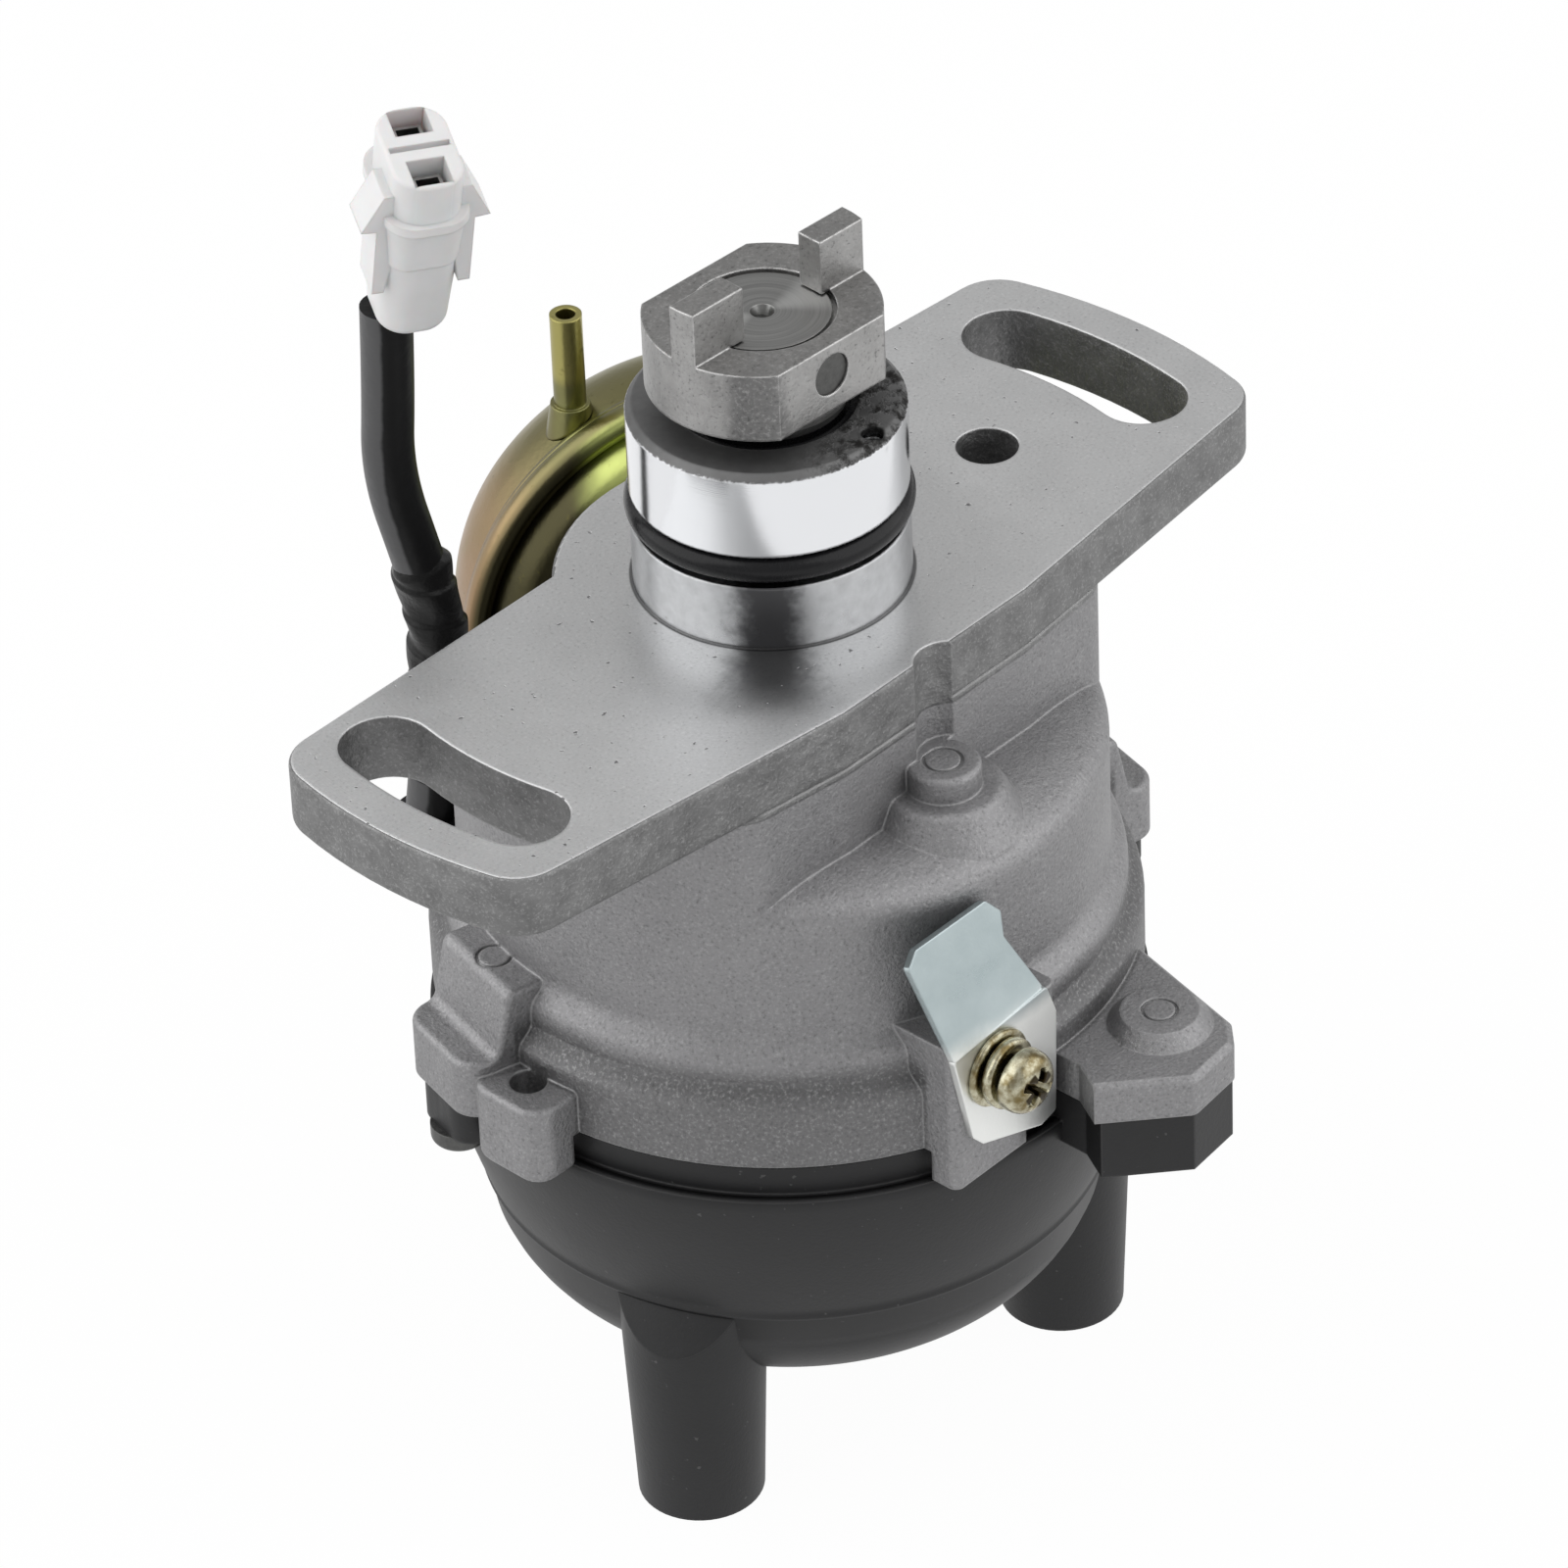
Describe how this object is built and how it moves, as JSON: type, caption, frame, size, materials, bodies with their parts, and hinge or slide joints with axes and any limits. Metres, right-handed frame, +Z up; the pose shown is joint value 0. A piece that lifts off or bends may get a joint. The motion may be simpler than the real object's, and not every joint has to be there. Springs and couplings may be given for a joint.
{
  "type": "ignition distributor",
  "caption": "Flange-mounted ignition distributor with an offset-dog drive, centrifugal and vacuum advance, black cap with plug towers, and a short pickup lead with a white plug.",
  "frame": {"origin": "On the barrel's axis in the plane of the flange's mounting face.", "axes": "+Z runs up the barrel toward the drive coupling, +X along the mounting flange."},
  "size_m": [0.1298, 0.1246, 0.1686],
  "materials": {
    "cast_body": "satin cast",
    "steel": "satin",
    "sintered_steel": "matt sintered",
    "bronze": "satin",
    "black_rubber": "matt",
    "cap_plastic": "satin",
    "brass": "satin",
    "carbon": "matt",
    "yellow_zinc": "yellow chromate",
    "blue_zinc": "bright zinc",
    "lead_sleeve": "satin",
    "white_nylon": "satin",
    "copper": "enamelled wire"
  },
  "bodies": {
    "body": {"housing": "cast_body", "barrel_ring": "black_rubber", "bushes": "bronze", "shaft_seal": "black_rubber", "cap": "cap_plastic", "cap_gasket": "black_rubber", "cap_screws": "blue_zinc", "plug_electrodes": "brass", "coil_terminal": "brass", "carbon_button": "carbon", "carbon_spring": "steel", "base_plate": "blue_zinc", "base_screws": "blue_zinc", "outer_shell": "yellow_zinc", "inner_shell": "yellow_zinc", "diaphragm": "black_rubber", "vacuum_spring": "steel", "vacuum_nipple": "yellow_zinc", "canister_bracket": "yellow_zinc", "canister_screws": "blue_zinc", "harness_bracket": "blue_zinc", "flat_washer": "yellow_zinc", "spring_washer": "yellow_zinc", "bracket_screw": "yellow_zinc", "pickup_lead": "lead_sleeve", "lead_grommet": "black_rubber", "plug_housing": "white_nylon", "plug_terminals": "brass"},
    "drive": {"drive_shaft": "steel", "drive_coupling": "sintered_steel", "coupling_pin": "steel", "thrust_washers": "steel", "governor_plate": "blue_zinc"},
    "timing_sleeve": {"cam_sleeve": "sintered_steel", "reluctor": "steel", "rotor_arm": "cap_plastic", "rotor_contact": "brass", "governor_springs": "steel"},
    "weight_a": {"governor_weight_a": "blue_zinc"},
    "weight_b": {"governor_weight_b": "blue_zinc"},
    "pickup": {"pickup_plate": "blue_zinc", "pickup_core": "steel", "pickup_coil": "copper"},
    "vacuum_link": {"vacuum_rod": "blue_zinc"}
  },
  "joints": [
    {"name": "drive_spin", "type": "hinge", "parent": "body", "child": "drive", "pos_m": [0, 0, 0], "axis": [0, 0, 1], "continuous": true},
    {"name": "timing_advance", "type": "hinge", "parent": "drive", "child": "timing_sleeve", "pos_m": [0, 0, -0.031], "axis": [0, 0, -1], "range_deg": [0, 10], "stiffness_Nm_per_rad": 0.4, "springref_deg": -5.73, "deforming": ["governor_springs"]},
    {"name": "weight_a_swing", "type": "hinge", "parent": "drive", "child": "weight_a", "pos_m": [0, 0.018, -0.028], "axis": [0, 0, 1], "range_deg": [0, 15.8]},
    {"name": "weight_b_swing", "type": "hinge", "parent": "drive", "child": "weight_b", "pos_m": [0, -0.018, -0.028], "axis": [0, 0, 1], "range_deg": [0, 15.8]},
    {"name": "pickup_swing", "type": "hinge", "parent": "body", "child": "pickup", "pos_m": [0, 0, -0.0377], "axis": [0, 0, 1], "range_deg": [0, 10], "stiffness_Nm_per_rad": 0.5, "springref_deg": -8.59},
    {"name": "vacuum_pull", "type": "slide", "parent": "body", "child": "vacuum_link", "axis": [0.4587, 0.8886, 0], "range_m": [0, 0.0036], "deforming": ["diaphragm", "vacuum_spring"]}
  ],
  "couplings": [
    {"joint": "weight_a_swing", "follows": "timing_advance", "ratio": 1.571},
    {"joint": "weight_b_swing", "follows": "timing_advance", "ratio": 1.571},
    {"joint": "vacuum_pull", "follows": "pickup_swing", "m_per_rad": 0.01997}
  ]
}
